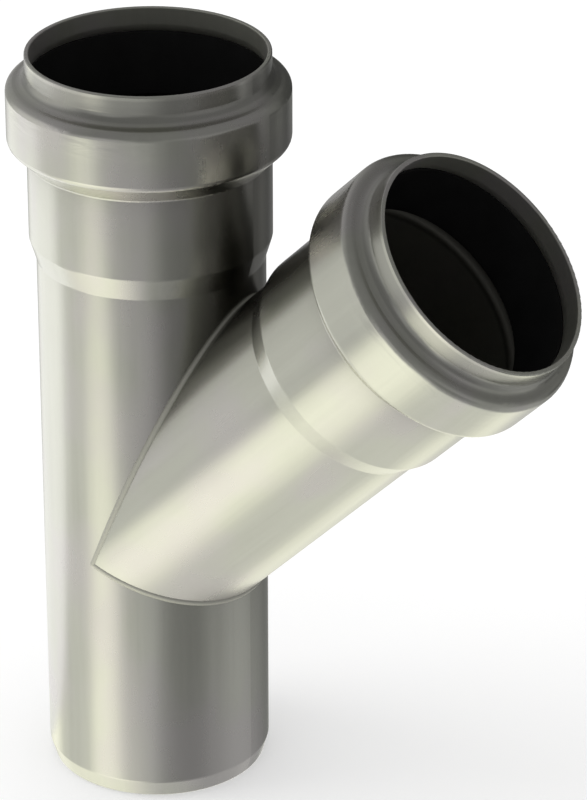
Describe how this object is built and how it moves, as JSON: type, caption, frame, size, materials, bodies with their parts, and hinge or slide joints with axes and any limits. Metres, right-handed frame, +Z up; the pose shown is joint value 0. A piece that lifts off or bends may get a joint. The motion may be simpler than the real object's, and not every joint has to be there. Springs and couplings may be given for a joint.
{
  "type": "lateral wye fitting",
  "caption": "45 degree wye for push-fit stainless drain pipe: a straight run with a plain spigot below, and ring-seal sockets on the run and the side branch.",
  "frame": {"origin": "centre of the spigot's end face, on the run's axis, where the fitting enters the pipe below", "axes": "+Z up the run's axis towards its socket; the branch leans from +Z towards +X, in the XZ plane, which is the fitting's plane of symmetry"},
  "size_m": [0.1327, 0.0614, 0.1698],
  "materials": {
    "satin_steel": "satin, pickled stainless steel",
    "weld_steel": "fine rippled weld, pickled",
    "seal_rubber": "matte black EPDM rubber"
  },
  "bodies": {
    "root": {"run_tube": "satin_steel", "branch_tube": "satin_steel", "seam_weld": "weld_steel", "run_seal": "seal_rubber", "branch_seal": "seal_rubber"}
  },
  "joints": []
}
